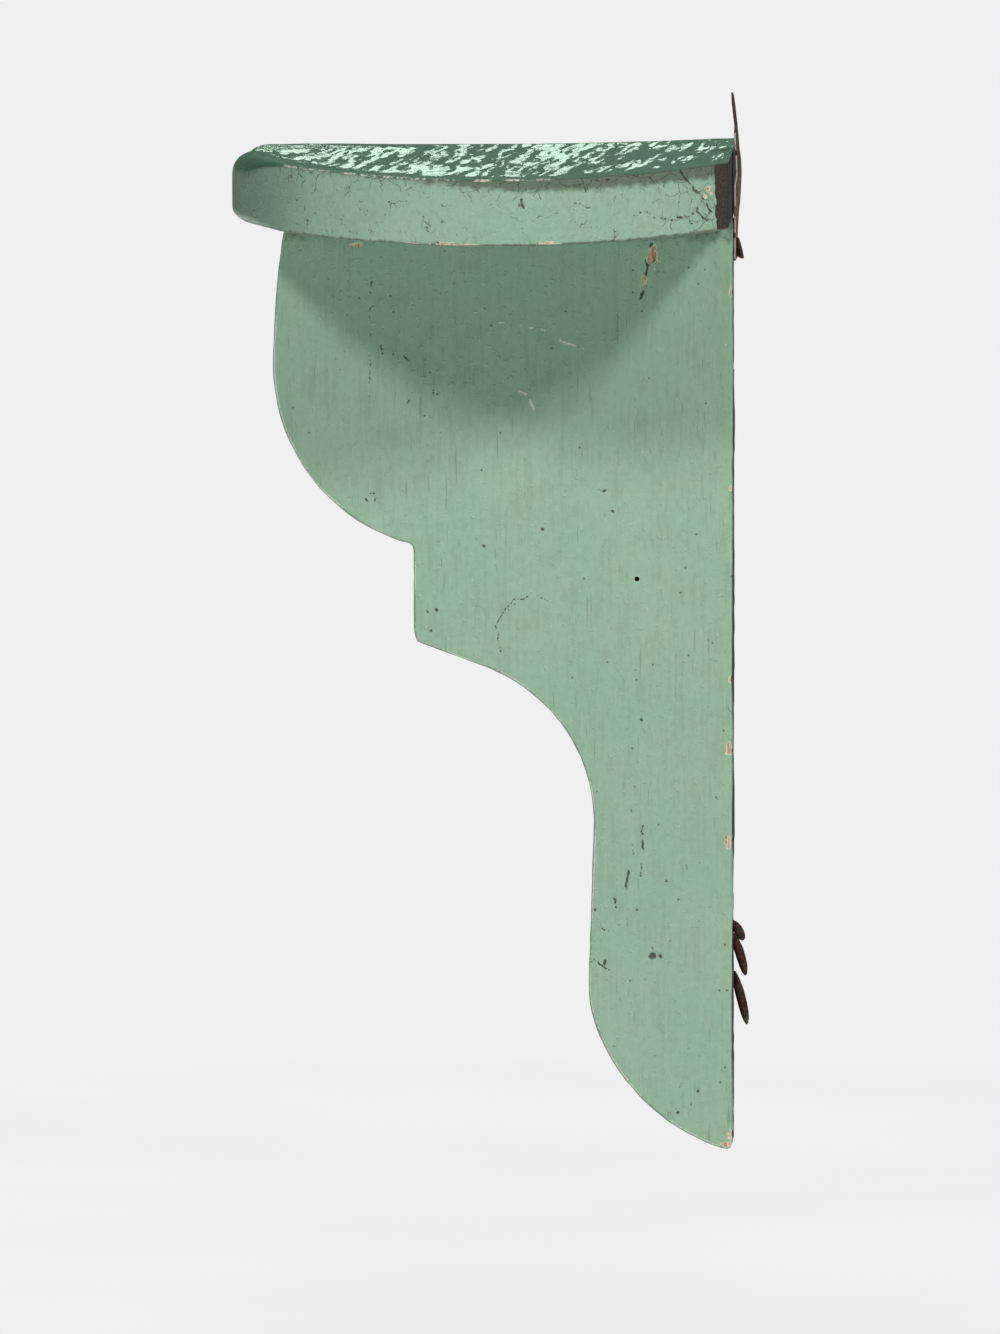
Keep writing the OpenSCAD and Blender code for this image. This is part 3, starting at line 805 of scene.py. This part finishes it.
class SHELF_OT_board(bpy.types.Operator):
    """Builds the painted board: a cupped slab with a worn nose and a brush-ridged top"""
    bl_idname = "shelf.board"
    bl_label = "Painted board"

    def execute(self, context):
        shape = context.scene.shelf_shape
        board = BoardShape()
        loop = soften(board.outline(0.52), 6)
        angle = np.degrees(np.arctan2(np.abs(loop[:, 0]), board.centre_y - loop[:, 1]))
        near_side = loop[:, 0] > 0
        nose = np.where(near_side, 1 - smooth_step(angle, 12, 38), 1 - smooth_step(angle, 8, 26))
        at_rim = np.column_stack([loop, np.zeros(len(loop))])
        uneven = 1 + 0.35 * lattice_noise(at_rim, (9, 9, 9), 3)
        arris = shape.arris / MM
        arris_high = arris * uneven + shape.nose_wear / MM * nose
        arris_low = arris * uneven + 0.35 * shape.nose_wear / MM * nose
        low, high = loop.min(axis=0), loop.max(axis=0)
        points = {1: scatter(low, high, 2.2, 0.42, 11), -1: scatter(low, high, 1.7, 1.5, 12)}
        place, facing, faces = slab(loop, board.half_t, arris_high, arris_low, 9, 28, points)
        verts = np.column_stack([place[:, :2], board.height(place[:, 1], place[:, 2])])

        x, y = verts[:, 0], verts[:, 1]
        through = (place[:, 2] + board.half_t) / (2 * board.half_t)
        rim = board.plan_r - np.hypot(x, y - board.centre_y)
        on_top = smooth_step(facing[:, 2], 0.5, 0.95)
        on_edge = smooth_step(np.hypot(facing[:, 0], facing[:, 1]), 0.6, 0.95)
        ridges, polish = brush_strokes(board, verts, rim, shape.ridge_gap / MM)
        lift = on_top * smooth_step(rim, 0.5, 5) * shape.ridge / MM * ridges
        wave = 0.18 * lattice_noise(verts, (22, 22, 9), 25) + 0.05 * lattice_noise(verts, (4, 4, 4), 26)
        lift = lift + wave - 0.15

        marks = board_edge_marks(box_mm("bracket_board")[0][2])
        sink, crack, chip, _ = marks.apply(verts[:, 1:3])
        near = on_edge * (x > 0)
        lift = lift - sink * near

        # The wood dips a little over each sunk nail, but not far enough to show its head.
        for name in BOARD_NAILS:
            nail_low, nail_high = box_mm(f"shelf_nail_{name}")
            middle = (nail_low + nail_high) / 2
            radius = (nail_high[0] - nail_low[0]) / 2
            off = np.hypot(x - middle[0], y - middle[1]) / radius
            lift = lift - on_top * 0.15 * (1 - smooth_step(off, 0.6, 1.15))
            lift = np.where(off < 1.3, np.maximum(lift, -0.4), lift)

        # The paint ends in a ragged line near the wall, and the bare wood behind it lies lower.
        ragged = lattice_noise(verts, (3, 3, 3), 33) + 0.5 * lattice_noise(verts, (1.2, 1.2, 1.2), 34)
        back = smooth_step(y + 0.9 * ragged + 0.9 * (through - 0.5), -5.2, -3.8) * on_edge
        lift = lift - 0.3 * smooth_step(back, 0.4, 0.8)
        # The board's back face is marked for a near-black colour: painted shade.
        back = np.maximum(back, 2 * smooth_step(facing[:, 1], 0.85, 0.98))
        verts = verts + facing * lift[:, None]

        marked = board_wear(board, verts, facing, through, on_edge)
        marked |= {"crack": crack * near, "chip": chip * near, "back": back, "polish": polish * on_top}
        paint = oil_paint_on_pine("brushed oil paint on the board", (14, 1, 1), context.scene.shelf_paint)
        make_piece("painted_board", verts, faces, paint, "shelf_board", marked)
        return {"FINISHED"}


# The empty nail hole in the bracket's near side, as (distance from the wall, height above the foot).
OLD_NAIL_HOLE = (32, 190.5)

# How far the hole's floor is sunk, in millimetres.
HOLE_DEPTH = 8

# Corners of the bracket that wear has rounded more, as (place, smoothing passes, reach in millimetres).
WORN_CORNERS = (((48.3, 49), 60, 22), ((106.4, 171), 16, 9))


def marked_net(marks, loop, seed):
    """Points for one face of the bracket: sparse on the whole, and close together at its marks."""
    low, high = loop.min(axis=0), loop.max(axis=0)
    sparse = scatter(low, high, 1.7, 1.5, seed)
    fine = scatter(low, high, 0.5, 0.45, seed + 1)
    return np.vstack([sparse[marks.near(sparse) > 1.0], fine[marks.near(fine) < 1.0]])


class SHELF_OT_bracket(bpy.types.Operator):
    """Builds the painted bracket: the scroll-sawn outline with worn arrises, scratches, cracks and chips"""
    bl_idname = "shelf.bracket"
    bl_label = "Painted bracket"

    def execute(self, context):
        shape = context.scene.shelf_shape
        low, high = box_mm("bracket_board")
        half_t = (high[0] - low[0]) / 2
        sharp = resample(side_outline("bracket_board"), 0.8)
        loop = soften(sharp, 5)
        for place, passes, reach in WORN_CORNERS:
            corner = np.array([-place[0], place[1] + low[2]])
            share = 1 - smooth_step(np.linalg.norm(sharp - corner, axis=1), 0.35 * reach, reach)
            loop = loop + share[:, None] * (soften(sharp, passes) - loop)
        at_rim = np.column_stack([loop, np.zeros(len(loop))])
        arris = shape.arris / MM * (1 + 0.35 * lattice_noise(at_rim, (11, 11, 11), 4))
        near_marks, far_marks = bracket_marks(low[2]), bracket_far_marks(low[2])
        hole, hole_r = near_marks.point(OLD_NAIL_HOLE), shape.old_hole / MM
        near_net = marked_net(near_marks, loop, 13)
        rings = [arc_line(hole, hole_r * r, 0, 342, 20) for r in (0.3, 0.7, 1.0, 1.25, 1.8)]
        near_net = np.vstack([near_net[np.linalg.norm(near_net - hole, axis=1) > 2.2 * hole_r], *rings])
        points = {1: near_net, -1: marked_net(far_marks, loop, 15)}
        place, facing, faces = slab(loop, half_t, arris, arris, 6, 18, points)
        verts = np.column_stack([place[:, 2], place[:, 0], place[:, 1]])
        facing = np.column_stack([facing[:, 2], facing[:, 0], facing[:, 1]])

        lift = 0.12 * lattice_noise(verts, (9, 24, 60), 27) - 0.1
        lift += 0.03 * lattice_noise(verts, (4, 3, 14), 28)
        on_edge = smooth_step(np.hypot(facing[:, 1], facing[:, 2]), 0.6, 0.95)
        lift += on_edge * 0.12 * lattice_noise(verts, (30, 3, 3), 29)
        near = smooth_step(verts[:, 0], 0.4 * half_t, 0.9 * half_t)
        far = smooth_step(-verts[:, 0], 0.4 * half_t, 0.9 * half_t)
        both = zip(near_marks.apply(verts[:, 1:3]), far_marks.apply(verts[:, 1:3]))
        sink, crack, chip, ridge_highlight = (on_near * near + on_far * far for on_near, on_far in both)
        lift = lift - sink
        back = smooth_step(facing[:, 1], 0.8, 0.97)
        below_strap = smooth_step(-verts[:, 2], 40, 60)
        lift = lift - back * (0.05 + below_strap * (0.1 - 0.5 * lattice_noise(verts, (14, 50, 26), 30)))
        paint_reach = 8.6 + 1.1 * lattice_noise(verts, (9, 40, 21), 35)
        paint_reach += 0.7 * lattice_noise(verts, (3, 40, 3), 36)
        back = 1.2 * back * (1 - smooth_step(np.abs(verts[:, 0]) - paint_reach, 0, 0.6))
        deep = (np.linalg.norm(verts[:, 1:3] - hole, axis=1) < hole_r * 0.9) & (facing[:, 0] > 0.9)
        verts = verts + facing * lift[:, None]
        verts[deep, 0] -= HOLE_DEPTH

        height = verts[:, 2] - low[2]
        inner_arris = np.clip(1.3 - np.abs(np.abs(facing[:, 0]) - 0.87) / 0.15, 0, 1)
        front_arris = inner_arris * smooth_step(-facing[:, 1] - 0.5 * facing[:, 2], 0.0, 0.2)
        # Rubbed pale arrises, most on the front, and a pale painted highlight on the raised lines.
        worn_and_highlit = 0.4 * inner_arris + 0.5 * front_arris + 0.4 * front_arris * lattice_noise(verts, (9, 9, 9), 42)
        worn_and_highlit = np.maximum(worn_and_highlit, 1.7 * ridge_highlight)
        # Painted shade: a band on the sides just under the board, on the lower edges that face the front, and
        # at the top back corner by the strap.
        under = (1 - smooth_step(high[2] - verts[:, 2], 5, 13)) * (facing[:, 0] ** 2 > 0.5)
        low_front = smooth_step(-height, -190, -30) * smooth_step(-facing[:, 1], 0.1, 0.4)
        dirt = np.maximum(0.55 * under, 0.4 * low_front)
        top_corner = np.hypot(verts[:, 1], verts[:, 2] - high[2]) - 0.5 * lattice_noise(verts, (2, 2, 2), 37)
        dirt = np.maximum(dirt, 1 - smooth_step(top_corner, 2.2, 4.5))
        unused = np.zeros(len(verts))
        # Painted shade on the edges that face the front and down.
        soil = smooth_step(-facing[:, 1] - facing[:, 2], 0.45, 0.8) * (facing[:, 1] < -0.1)
        # The old hole's floor is painted dark: painted shade in the hole.
        marked = {"dirt": np.maximum(dirt, deep), "crackle": 0.1 * near * (height < 150), "wear": worn_and_highlit,
                  "crack": np.maximum(crack, deep), "chip": chip, "back": back, "used": unused,
                  "polish": unused, "soil": soil}
        paint = oil_paint_on_pine("brushed oil paint on the bracket", (1, 1, 14), context.scene.shelf_paint)
        make_piece("painted_bracket", verts, faces, paint, "bracket_board", marked)
        return {"FINISHED"}


def tube_faces(rows, sides):
    """The faces of a closed tube whose vertices go round it, row by row."""
    faces = []
    for i in range(rows - 1):
        for k in range(sides):
            n = (k + 1) % sides
            faces.append((i * sides + k, i * sides + n, (i + 1) * sides + n, (i + 1) * sides + k))
    faces.append(tuple(range(sides))[::-1])
    faces.append(tuple((rows - 1) * sides + k for k in range(sides)))
    return faces


def tube(path, radii_a, radii_b, sides):
    """A closed tube along a path in a plane of constant x, with its half width and half thickness at each
    point."""
    path = np.asarray(path, float)
    along = np.gradient(path, axis=0)
    along /= np.linalg.norm(along, axis=1)[:, None]
    side = np.array([1.0, 0.0, 0.0])
    up = np.cross(along, side)
    angles = np.linspace(0, 2 * np.pi, sides, endpoint=False)
    verts = []
    for p, u, ra, rb in zip(path, up, radii_a, radii_b):
        for t in angles:
            verts.append(p + ra * math.cos(t) * side + rb * math.sin(t) * u)
    return np.array(verts), tube_faces(len(path), sides)


# How far the strap's front face stands off the wood along each of its long edges, as (height above the
# board's top at the back, distance). The two differ because the strap has been twisted.
STRAP_NEAR_EDGE = ((-36, 0.05), (-12, 0), (-8, 0.65), (0, 0.4), (5, 0), (8, 0.2), (15, -0.7), (19, -1.0))
STRAP_FAR_EDGE = ((-36, 0.3), (-29, 0.4), (-22, 0.8), (-17, 1.3), (-12, 1.6), (-8, 1.7), (-4, 1.5), (0, 0.9),
                  (8, 0.3), (19, -1.0))


class SHELF_OT_strap(bpy.types.Operator):
    """Builds the rusty sheet-iron strap: bent, slightly twisted, with ragged edges and its hanging hole"""
    bl_idname = "shelf.strap"
    bl_label = "Hanging strap"

    def execute(self, context):
        iron = context.scene.shelf_iron
        thick = context.scene.shelf_shape.strap_thick / MM
        hole_r = context.scene.shelf_shape.strap_hole / MM
        low, high = box_mm("hanger_strap")
        half_w = (high[0] - low[0]) / 2
        board_top = box_mm("shelf_board")[1][2]
        shoulder = -0.2 * half_w
        near_side = [(half_w, z) for z in np.arange(low[2], shoulder, 0.7)]
        far_side = [(-half_w, z) for z in np.arange(shoulder, low[2], -0.7)]
        loop = np.vstack([near_side, arc_line((0, 0), half_w, 0, 180, 44), far_side])
        loop = soften(resample(loop, 0.6), 3)
        wobble = 0.25 * lattice_noise(loop, (3, 3), 61) + 0.1 * lattice_noise(loop, (0.9, 0.9), 62)
        normals = outward(loop)
        loop = loop + normals * (wobble - 0.25)[:, None]
        grid = scatter(loop.min(axis=0), loop.max(axis=0), 0.8, 0.8, 63)
        ring = arc_line((0, 0), hole_r, 0, 345, 24)
        grid = grid[np.linalg.norm(grid, axis=1) > hole_r + 0.6]
        inner = keep_inside(grid, loop, normals, 0.3)
        count, hole_count = len(loop), len(ring)
        net_points = [Vector(p) for p in np.vstack([loop, ring, inner])]
        edges = [(i, (i + 1) % count) for i in range(count)]
        edges += [(count + i, count + (i + 1) % hole_count) for i in range(hole_count)]
        flat, _, triangles, _, _, _ = delaunay_2d_cdt(net_points, edges, [], 1, 1e-5)
        flat = np.array([(p.x, p.y) for p in flat])
        triangles = [t for t in triangles if np.hypot(*flat[list(t)].mean(axis=0)) > hole_r - 0.05]

        z = flat[:, 1]
        near_at, near_y = zip(*STRAP_NEAR_EDGE)
        far_at, far_y = zip(*STRAP_FAR_EDGE)
        near_edge = np.interp(z - board_top, near_at, near_y)
        far_edge = np.interp(z - board_top, far_at, far_y)
        across = (flat[:, 0] + half_w) / (2 * half_w)
        y_mid = far_edge + (near_edge - far_edge) * across + thick / 2
        y_mid = y_mid + 0.06 * lattice_noise(flat, (4, 4), 64)
        edge_near = 1 - smooth_step(half_w - np.abs(flat[:, 0]), 0, 0.7)
        verts = np.vstack([np.column_stack([flat[:, 0], y_mid + side * thick, z]) for side in (-0.5, 0.5)])
        n = len(flat)
        faces = [tuple(t) for t in triangles] + [tuple(n + i for i in t)[::-1] for t in triangles]
        sides = {(a, b) for t in triangles for a, b in zip(t, t[1:] + t[:1])}
        faces += [(b, a, a + n, b + n) for a, b in sides if (b, a) not in sides]
        char = smooth_step(z, board_top - 14, board_top - 2)
        marked = {"rub": np.tile(edge_near * (z < board_top + 6), 2), "char": np.tile(char, 2)}
        metal = rusted_iron("rusted sheet iron", iron.strap_dark, iron.strap_rust, iron.strap_pale, 2.0,
                            iron.bright, 0.4)
        make_piece("rusty_strap", verts, faces, metal, "hanger_strap", marked)
        return {"FINISHED"}


# The strap nail's outline from its point to the top of its head, as (radius, height), and its head's radius
# there. The outline is scaled to the head of the nail in the frame.
STRAP_NAIL = ((0.1, -24.5), (0.5, -23), (1.3, -19.5), (1.3, -3.4), (1.6, -2.9), (2.6, -2.0), (3.35, -1.15),
              (3.6, -0.8), (3.62, -0.4), (3.35, -0.12), (2.4, 0.02), (1.2, 0.1), (0.1, 0.12))
STRAP_NAIL_HEAD = 3.6


class SHELF_OT_strap_nail(bpy.types.Operator):
    """Builds the strap's nail: a slanted shank and a thick uneven head with a rusted rim"""
    bl_idname = "shelf.strap_nail"
    bl_label = "Strap nail"

    def execute(self, context):
        iron = context.scene.shelf_iron
        low, high = box_mm("hanger_nail")
        radius = (high[0] - low[0]) / 2
        tilt = context.scene.shelf_shape.strap_nail_tilt
        sides = 40
        verts = []
        for r, h in STRAP_NAIL:
            for k in range(sides):
                t = 2 * math.pi * k / sides
                verts.append((r * math.cos(t), r * math.sin(t), h))
        verts = np.array(verts)
        dent = 0.14 * lattice_noise(verts, (1.8, 1.8, 1.8), 71) * (np.hypot(verts[:, 0], verts[:, 1]) > 1.5)
        verts[:, 2] += dent
        verts[:, :2] *= (1 + 0.03 * lattice_noise(verts, (2.2, 2.2, 2.2), 72))[:, None]
        turn = Matrix.Rotation(tilt - math.pi / 2, 3, "X")
        scale = radius / STRAP_NAIL_HEAD
        verts = np.array([turn @ Vector(v * scale) for v in verts])
        top_y = high[1] - radius * math.sin(tilt)
        head_z = high[2] - radius * math.cos(tilt)
        verts += [0, top_y, head_z]
        metal = rusted_iron("rusted nail iron, strap nail", iron.nail_dark, iron.nail_rust, iron.nail_pale, 0.9,
                            iron.bright, 0.4)
        faces = tube_faces(len(STRAP_NAIL), sides)
        make_piece("rusty_strap_nail", verts, faces, metal, "hanger_nail",
                   {"rub": np.zeros(len(verts))})
        return {"FINISHED"}


# The hammered end of a nail, as (part of its length, half width along the wood, half thickness). It is
# flattened into a leaf.
LEAF = ((0.0, 1.3, 0.9), (0.12, 1.4, 1.3), (0.35, 1.6, 1.6), (0.6, 1.75, 1.55), (0.78, 1.6, 1.35),
        (0.9, 1.2, 1.0), (0.97, 0.7, 0.6), (1.0, 0.25, 0.25))


class SHELF_OT_leg_nails(bpy.types.Operator):
    """Builds the three clenched nails: round shanks hammered over into flattened, leaf-like ends"""
    bl_idname = "shelf.leg_nails"
    bl_label = "Clenched nails"

    def execute(self, context):
        iron = context.scene.shelf_iron
        shank_r = context.scene.shelf_shape.leg_nail_shank / MM
        head_r = context.scene.shelf_shape.leg_nail_head / MM
        metal = rusted_iron("rusted nail iron, clenched", iron.nail_dark, iron.nail_rust, iron.nail_pale, 1.1,
                            iron.fleck, 0.0)
        for name, seed in (("upper", 81), ("middle", 82), ("lower", 83)):
            node = f"leg_nail_{name}"
            low, high = box_mm(node)
            x = (low[0] + high[0]) / 2
            exit_z = high[2] - head_r
            head = [(low[1] + 0.05, 0.3), (low[1] + 0.1, 0.9), (low[1] + 0.7, 1.0), (low[1] + 0.9, 0.45)]
            path = [(x, y, exit_z) for y, _ in head]
            path += [(x, -30, exit_z), (x, -4, exit_z), (x, -1.2, exit_z + 0.6)]
            size = [(head_r * r, head_r * r) for _, r in head] + 2 * [(shank_r, shank_r)] + [(shank_r, 1.15)]
            bend = np.array([x, -0.1, exit_z + 1.1])
            tip = np.array([x, high[1] - 0.9, low[2] - 0.1 * (exit_z - low[2])])
            for part, wide, thick in LEAF:
                path.append(bend + (tip - bend) * part + [0, 0.35 * math.sin(math.pi * part), 0])
                size.append((wide, thick))
            size = np.array(size)
            verts, faces = tube(path, size[:, 0], size[:, 1], 20)
            rough = 0.14 * lattice_noise(verts, (1.1, 1.1, 1.1), seed) * (verts[:, 1] > 0.2)
            verts = verts + rough[:, None] * np.array([0.6, 0.5, 0.2])
            painted = 0.5 * (1 - smooth_step(verts[:, 2], low[2] + 1, low[2] + 6)) * (name == "lower")
            make_piece(f"clenched_nail_{name}", verts, faces, metal, node, {"rub": painted})
        return {"FINISHED"}


class SHELF_OT_board_nails(bpy.types.Operator):
    """Gives the nails inside the board and the bracket their rust"""
    bl_idname = "shelf.board_nails"
    bl_label = "Board nails"

    def execute(self, context):
        iron = context.scene.shelf_iron
        metal = rusted_iron("rusted nail iron, board nails", iron.nail_dark, iron.nail_rust, iron.nail_pale,
                            1.1, iron.fleck, 0.0)
        for name in BOARD_NAILS:
            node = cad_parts[f"shelf_nail_{name}"]
            node.data.materials.clear()
            node.data.materials.append(metal)
        return {"FINISHED"}


# Soft boxes, as (name, angle to the left of the +X side, elevation, distance, width and height, power, colour).
LIGHTS = (("key light, front side", 26, 39, 4.0, (0.55, 0.55), 70, "key_colour"),
          ("key light, wall side", -41, 38, 4.0, (0.6, 0.6), 83, "key_colour"),
          ("strip light, far side", 180, 7, 2.0, (1.6, 0.2), 2.2, "fill_colour"),
          ("fill light, far side", 180, 50, 3.0, (1.5, 1.5), 12, "fill_colour"))

# The floor's radius, and how far it lies below the shelf's foot, in metres.
FLOOR_RADIUS = 6
FLOOR_DROP = 0.6

# Strength of the dim light that comes from the room on all sides.
ROOM_LIGHT = 0.045


class SHELF_OT_stage(bpy.types.Operator):
    """Builds the pale floor, the studio lights and the camera"""
    bl_idname = "shelf.stage"
    bl_label = "Stage"

    def execute(self, context):
        stage = context.scene.shelf_stage
        foot_z = CAD_BOX[0][2]
        picture_middle = Vector((0.011, -0.0775, foot_z + 0.1611))
        under_board = Vector((0.0, -0.08, foot_z + 0.25))
        self.make_camera(context, stage, picture_middle)
        self.make_floor(stage, foot_z)
        self.make_world(context, stage)
        for name, left, elevation, distance, size, power, colour in LIGHTS:
            self.make_light(name, under_board, left, elevation, distance, size, power, getattr(stage, colour))
        context.scene.view_settings.view_transform = "Standard"
        return {"FINISHED"}

    def make_camera(self, context, stage, centre):
        lens_data = bpy.data.cameras.new("camera")
        camera = bpy.data.objects.new("camera", lens_data)
        context.scene.collection.objects.link(camera)
        back = Vector((math.sin(stage.azimuth) * math.cos(stage.elevation),
                       -math.cos(stage.azimuth) * math.cos(stage.elevation), math.sin(stage.elevation)))
        camera.location = centre + back * stage.distance
        camera.rotation_euler = back.to_track_quat("Z", "Y").to_euler()
        lens_data.lens = lens_data.sensor_width * stage.distance / stage.view_height
        lens_data.clip_end = 50
        context.scene.camera = camera

    def make_floor(self, stage, foot_z):
        material, tree, output, place = new_material("pale painted floor")
        shade = lay(tree, stage.pale, stage.pale_shade, lumps(tree, place, 400, 2.0), 0.3, 0.7)
        glow = add(tree, "ShaderNodeEmission", {"Color": shade})
        clear = add(tree, "ShaderNodeBsdfTransparent")
        underneath = add(tree, "ShaderNodeNewGeometry", take="Backfacing")
        blend = add(tree, "ShaderNodeMixShader", {0: underneath, 1: glow, 2: clear})
        tree.links.new(blend, output.inputs["Surface"])
        bpy.ops.mesh.primitive_circle_add(vertices=96, radius=FLOOR_RADIUS, fill_type="NGON",
                                          location=(0, 0, foot_z - FLOOR_DROP))
        floor = bpy.context.object
        floor.name = "pale_floor"
        floor.data.materials.append(material)

    def make_world(self, context, stage):
        world = bpy.data.worlds.new("studio")
        context.scene.world = world
        world.use_nodes = True
        tree = world.node_tree
        tree.nodes.clear()
        room = add(tree, "ShaderNodeBackground", {"Color": list(stage.fill_colour), "Strength": ROOM_LIGHT})
        backdrop = add(tree, "ShaderNodeBackground", {"Color": list(stage.pale), "Strength": 1.0})
        seen = add(tree, "ShaderNodeLightPath", take="Is Camera Ray")
        blend = add(tree, "ShaderNodeMixShader", {0: seen, 1: room, 2: backdrop})
        output = add(tree, "ShaderNodeOutputWorld")
        tree.links.new(blend, output.inputs["Surface"])

    def make_light(self, name, aim, left, elevation, distance, size, power, colour):
        """A soft box, placed by its angle to the left of the +X side and its elevation."""
        data = bpy.data.lights.new(name, "AREA")
        data.shape = "RECTANGLE"
        data.size, data.size_y = size
        data.color = colour[:3]
        data.energy = power
        light = bpy.data.objects.new(name, data)
        light.visible_camera = False
        bpy.context.scene.collection.objects.link(light)
        a, e = math.radians(left), math.radians(elevation)
        back = Vector((math.cos(a) * math.cos(e), -math.sin(a) * math.cos(e), math.sin(e)))
        light.location = aim + back * distance
        light.rotation_euler = back.to_track_quat("Z", "Y").to_euler()


BUILD = (SHELF_OT_board, SHELF_OT_bracket, SHELF_OT_strap, SHELF_OT_strap_nail, SHELF_OT_leg_nails,
         SHELF_OT_board_nails, SHELF_OT_stage)


class SHELF_PT_panel(bpy.types.Panel):
    """Sizes, colours and the steps that build the shelf"""
    bl_label = "Bracket shelf"
    bl_space_type = "VIEW_3D"
    bl_region_type = "UI"
    bl_category = "Shelf"

    def draw(self, context):
        for step in BUILD:
            self.layout.operator(step.bl_idname)
        for name, group in SETTINGS.items():
            box = self.layout.box()
            for prop in group.__annotations__:
                box.prop(getattr(context.scene, name), prop)


def register():
    for group in SETTINGS.values():
        bpy.utils.register_class(group)
    for step in BUILD:
        bpy.utils.register_class(step)
    bpy.utils.register_class(SHELF_PT_panel)
    for name, group in SETTINGS.items():
        setattr(bpy.types.Scene, name, bpy.props.PointerProperty(type=group))


def unregister():
    for name in SETTINGS:
        delattr(bpy.types.Scene, name)
    for kind in (SHELF_PT_panel, *BUILD, *SETTINGS.values()):
        bpy.utils.unregister_class(kind)


def main():
    register()
    for step in BUILD:
        group, name = step.bl_idname.split(".")
        getattr(getattr(bpy.ops, group), name)()


if __name__ == "__main__":
    main()
